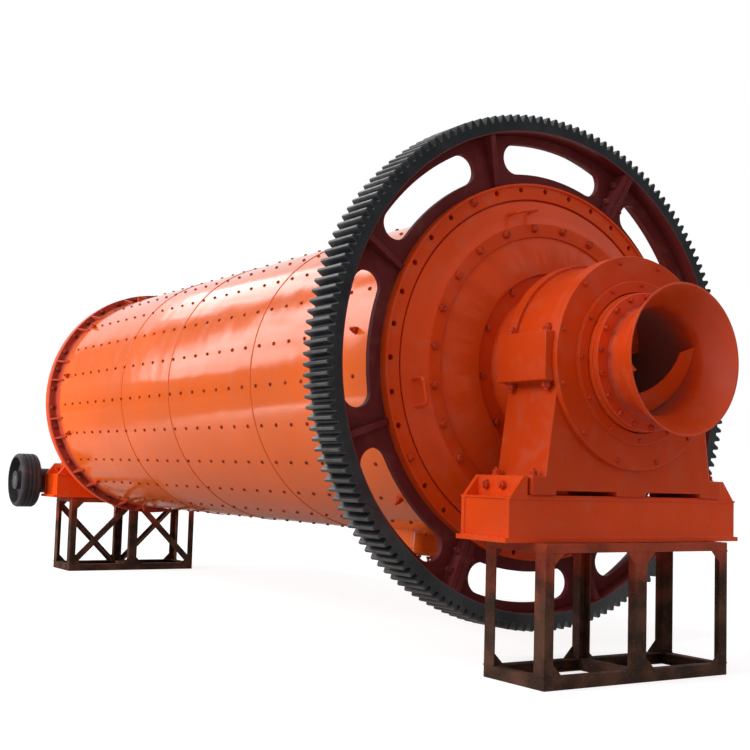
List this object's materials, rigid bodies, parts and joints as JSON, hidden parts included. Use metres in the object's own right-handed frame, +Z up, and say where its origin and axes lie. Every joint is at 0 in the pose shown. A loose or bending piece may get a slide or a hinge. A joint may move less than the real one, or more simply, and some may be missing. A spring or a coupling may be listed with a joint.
{
  "type": "horizontal tube ball mill",
  "caption": "Horizontal tube ball mill with a girth gear, hollow trunnions in pedestal bearings, flared spouts and steel stands, for grinding ore or clinker.",
  "frame": {"origin": "on the floor, under the mill axis, midway between the two heads", "axes": "+X along the mill axis towards the discharge end and its girth gear, +Z up"},
  "size_m": [9.786, 3.608, 3.8088],
  "materials": {
    "orange_paint": "glossy",
    "red_paint": "glossy",
    "maroon_paint": "satin",
    "black_gear": "oiled",
    "bare_steel": "worn",
    "rusty_steel": "rusty",
    "black_pulley": "satin"
  },
  "bodies": {
    "supports": {"feed_stand_braces": "rusty_steel", "pulley_bracket": "black_pulley", "discharge_pedestal": "red_paint", "discharge_bearing_cap": "red_paint", "discharge_outer_seal": "red_paint", "discharge_inner_seal": "red_paint", "discharge_bearing_base": "red_paint", "discharge_stand_bottom_rails": "rusty_steel", "discharge_stand_top_rails": "rusty_steel", "discharge_stand_posts": "rusty_steel", "discharge_stand_gussets": "rusty_steel", "feed_pedestal": "red_paint", "feed_bearing_cap": "red_paint", "feed_outer_seal": "red_paint", "feed_inner_seal": "red_paint", "feed_bearing_base": "red_paint", "feed_stand_bottom_rails": "rusty_steel", "feed_stand_top_rails": "rusty_steel", "feed_stand_posts": "rusty_steel", "feed_stand_gussets": "rusty_steel"},
    "drum": {"shell": "orange_paint", "discharge_shell_flange": "maroon_paint", "feed_shell_flange": "maroon_paint", "feed_flange_gussets": "maroon_paint", "manhole_frame": "orange_paint", "manhole_cover": "orange_paint", "girth_gear_rim": "black_gear", "girth_gear_web": "maroon_paint", "girth_gear_ribs": "maroon_paint", "girth_gear_joints": "maroon_paint", "discharge_head": "red_paint", "feed_head": "red_paint", "lifting_handles": "red_paint", "discharge_trunnion": "red_paint", "feed_trunnion": "red_paint", "discharge_spout": "red_paint", "feed_spout": "red_paint", "discharge_spiral": "red_paint", "feed_spiral": "red_paint"},
    "pulley": {"drive_pulley": "black_pulley", "pulley_shaft": "bare_steel"}
  },
  "joints": [
    {"name": "drum_spin", "type": "hinge", "parent": "supports", "child": "drum", "pos_m": [0, 0, 2.005], "axis": [1, 0, 0], "continuous": true},
    {"name": "pulley_spin", "type": "hinge", "parent": "supports", "child": "pulley", "pos_m": [-4.57, -1.181, 1.048], "axis": [0, 1, 0], "continuous": true}
  ]
}
